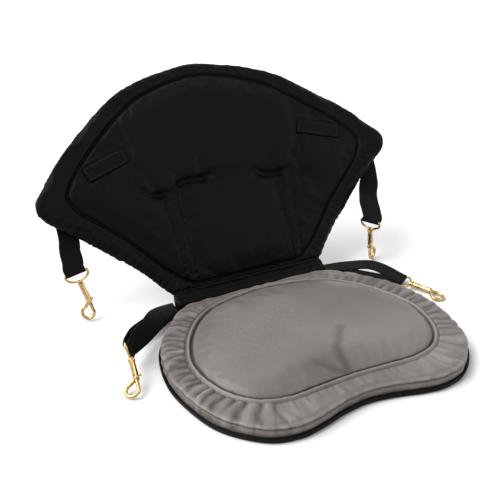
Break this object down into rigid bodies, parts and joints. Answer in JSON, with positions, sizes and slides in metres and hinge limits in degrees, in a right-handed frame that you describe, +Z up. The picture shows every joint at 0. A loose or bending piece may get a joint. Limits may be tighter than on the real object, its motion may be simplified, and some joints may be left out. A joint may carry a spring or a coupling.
{
  "type": "kayak seat",
  "caption": "Folding kayak seat: contoured foam seat pad and fan-shaped padded back joined by a sewn roll, with webbing straps that end in brass swivel snap hooks.",
  "frame": {"origin": "middle of the flat underside of the seat pad", "axes": "+Z up, +X to the viewer's right, -Y towards the front of the seat; the back leans away behind the hinge on +Y"},
  "size_m": [0.493, 0.4716, 0.265],
  "materials": {
    "grey_nylon": "satin",
    "black_nylon": "satin",
    "black_webbing": "matte",
    "foam": "matte",
    "brass": "polished",
    "spring_steel": "plain"
  },
  "bodies": {
    "seat": {"seat_cover": "grey_nylon", "seat_foam": "foam", "seat_inset_foam": "foam", "seat_underside": "black_nylon", "hinge_roll": "black_nylon", "lower_left_strap": "black_webbing", "lower_right_strap": "black_webbing"},
    "back": {"back_cover_front": "black_nylon", "back_cover_rear": "black_nylon", "back_foam": "foam", "back_panel_foam": "foam", "left_tab": "black_webbing", "right_tab": "black_webbing", "upper_left_strap": "black_webbing", "upper_right_strap": "black_webbing"},
    "upper_left_eye": {"upper_left_eye": "brass"},
    "upper_left_snap": {"upper_left_hook": "brass", "upper_left_spring": "spring_steel"},
    "upper_left_bolt": {"upper_left_bolt": "brass"},
    "upper_right_eye": {"upper_right_eye": "brass"},
    "upper_right_snap": {"upper_right_hook": "brass", "upper_right_spring": "spring_steel"},
    "upper_right_bolt": {"upper_right_bolt": "brass"},
    "lower_left_eye": {"lower_left_eye": "brass"},
    "lower_left_snap": {"lower_left_hook": "brass", "lower_left_spring": "spring_steel"},
    "lower_left_bolt": {"lower_left_bolt": "brass"},
    "lower_right_eye": {"lower_right_eye": "brass"},
    "lower_right_snap": {"lower_right_hook": "brass", "lower_right_spring": "spring_steel"},
    "lower_right_bolt": {"lower_right_bolt": "brass"}
  },
  "joints": [
    {"name": "back_fold", "type": "hinge", "parent": "seat", "child": "back", "pos_m": [0, 0.1463, 0.022], "axis": [1, 0, 0], "range_deg": [0, 105], "deforming": ["hinge_roll"]},
    {"name": "upper_left_swing", "type": "hinge", "parent": "back", "child": "upper_left_eye", "pos_m": [-0.2165, 0.1965, 0.0617], "axis": [0.8853, -0.2984, 0.3567], "range_deg": [-90, 90]},
    {"name": "upper_left_swivel", "type": "hinge", "parent": "upper_left_eye", "child": "upper_left_snap", "pos_m": [-0.2165, 0.1965, 0.0617], "axis": [0.255, -0.33, -0.9089], "continuous": true},
    {"name": "upper_left_bolt_slide", "type": "slide", "parent": "upper_left_snap", "child": "upper_left_bolt", "axis": [-0.255, 0.33, 0.9089], "range_m": [0, 0.0075], "stiffness_N_per_m": 200, "springref_m": -0.004, "deforming": ["upper_left_spring"]},
    {"name": "upper_right_swing", "type": "hinge", "parent": "back", "child": "upper_right_eye", "pos_m": [0.188, 0.153, 0.0628], "axis": [0.4039, -0.9142, 0.0345], "range_deg": [-25, 10]},
    {"name": "upper_right_swivel", "type": "hinge", "parent": "upper_right_eye", "child": "upper_right_snap", "pos_m": [0.188, 0.153, 0.0628], "axis": [0.04, -0.02, -0.999], "continuous": true},
    {"name": "upper_right_bolt_slide", "type": "slide", "parent": "upper_right_snap", "child": "upper_right_bolt", "axis": [-0.04, 0.02, 0.999], "range_m": [0, 0.0075], "stiffness_N_per_m": 200, "springref_m": -0.004, "deforming": ["upper_right_spring"]},
    {"name": "lower_left_swing", "type": "hinge", "parent": "seat", "child": "lower_left_eye", "pos_m": [-0.201, 0.058, 0.0265], "axis": [-0.363, -0.2543, 0.8964], "range_deg": [-90, 10]},
    {"name": "lower_left_swivel", "type": "hinge", "parent": "lower_left_eye", "child": "lower_left_snap", "pos_m": [-0.201, 0.058, 0.0265], "axis": [-0.1468, -0.9344, -0.3245], "continuous": true},
    {"name": "lower_left_bolt_slide", "type": "slide", "parent": "lower_left_snap", "child": "lower_left_bolt", "axis": [0.1468, 0.9344, 0.3245], "range_m": [0, 0.0075], "stiffness_N_per_m": 200, "springref_m": -0.004, "deforming": ["lower_left_spring"]},
    {"name": "lower_right_swing", "type": "hinge", "parent": "seat", "child": "lower_right_eye", "pos_m": [0.1865, 0.073, 0.0084], "axis": [0.8458, 0.5334, -0.0002], "range_deg": [-110, 0]},
    {"name": "lower_right_swivel", "type": "hinge", "parent": "lower_right_eye", "child": "lower_right_snap", "pos_m": [0.1865, 0.073, 0.0084], "axis": [0.531, -0.842, -0.095], "continuous": true},
    {"name": "lower_right_bolt_slide", "type": "slide", "parent": "lower_right_snap", "child": "lower_right_bolt", "axis": [-0.531, 0.842, 0.095], "range_m": [0, 0.0075], "stiffness_N_per_m": 200, "springref_m": -0.004, "deforming": ["lower_right_spring"]}
  ]
}
